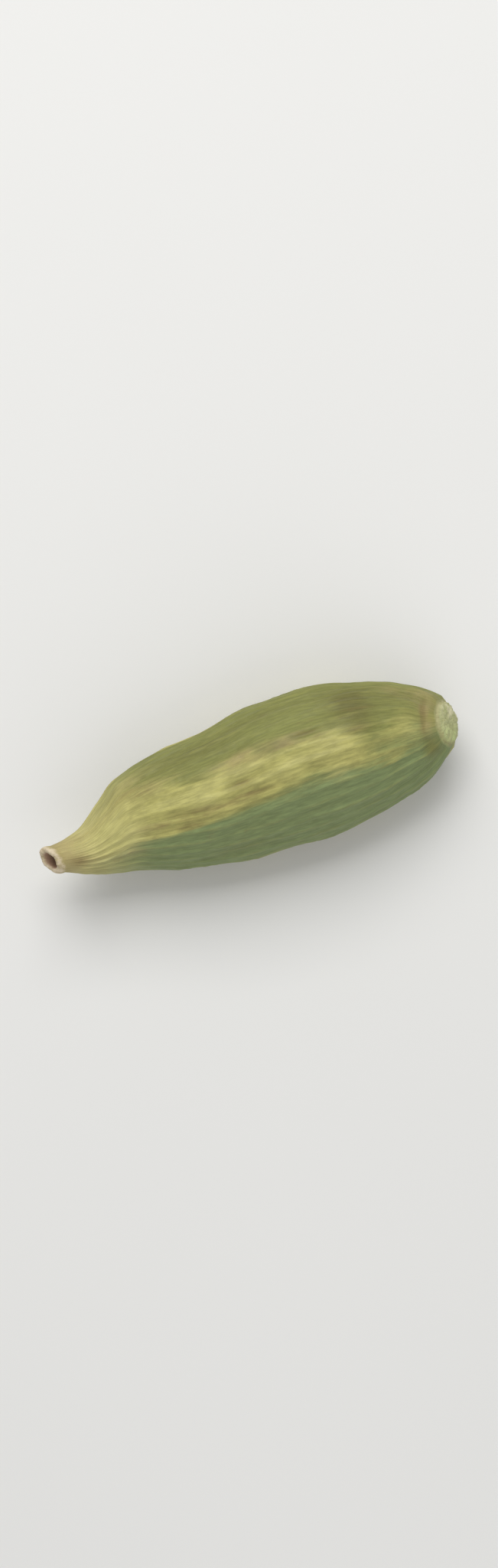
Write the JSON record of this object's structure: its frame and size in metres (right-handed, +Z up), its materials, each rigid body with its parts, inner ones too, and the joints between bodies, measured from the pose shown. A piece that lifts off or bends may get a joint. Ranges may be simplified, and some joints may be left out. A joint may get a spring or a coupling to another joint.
{
  "type": "green cardamom pod",
  "caption": "Dried green cardamom pod lying on one side: a ribbed husk, roundly triangular in section, from a narrow hollow beak to a pale stalk scar.",
  "frame": {"origin": "the middle of the pod's box in X and Y, on the surface that the pod lies on", "axes": "+X from the hollow beak to the stalk scar, +Z up from the flat spot that it rests on"},
  "size_m": [0.0164, 0.0056, 0.005],
  "materials": {
    "husk": "dry matte husk, olive green on its sides and straw yellow on its ridges"
  },
  "bodies": {
    "root": {"pod": "husk"}
  },
  "joints": []
}
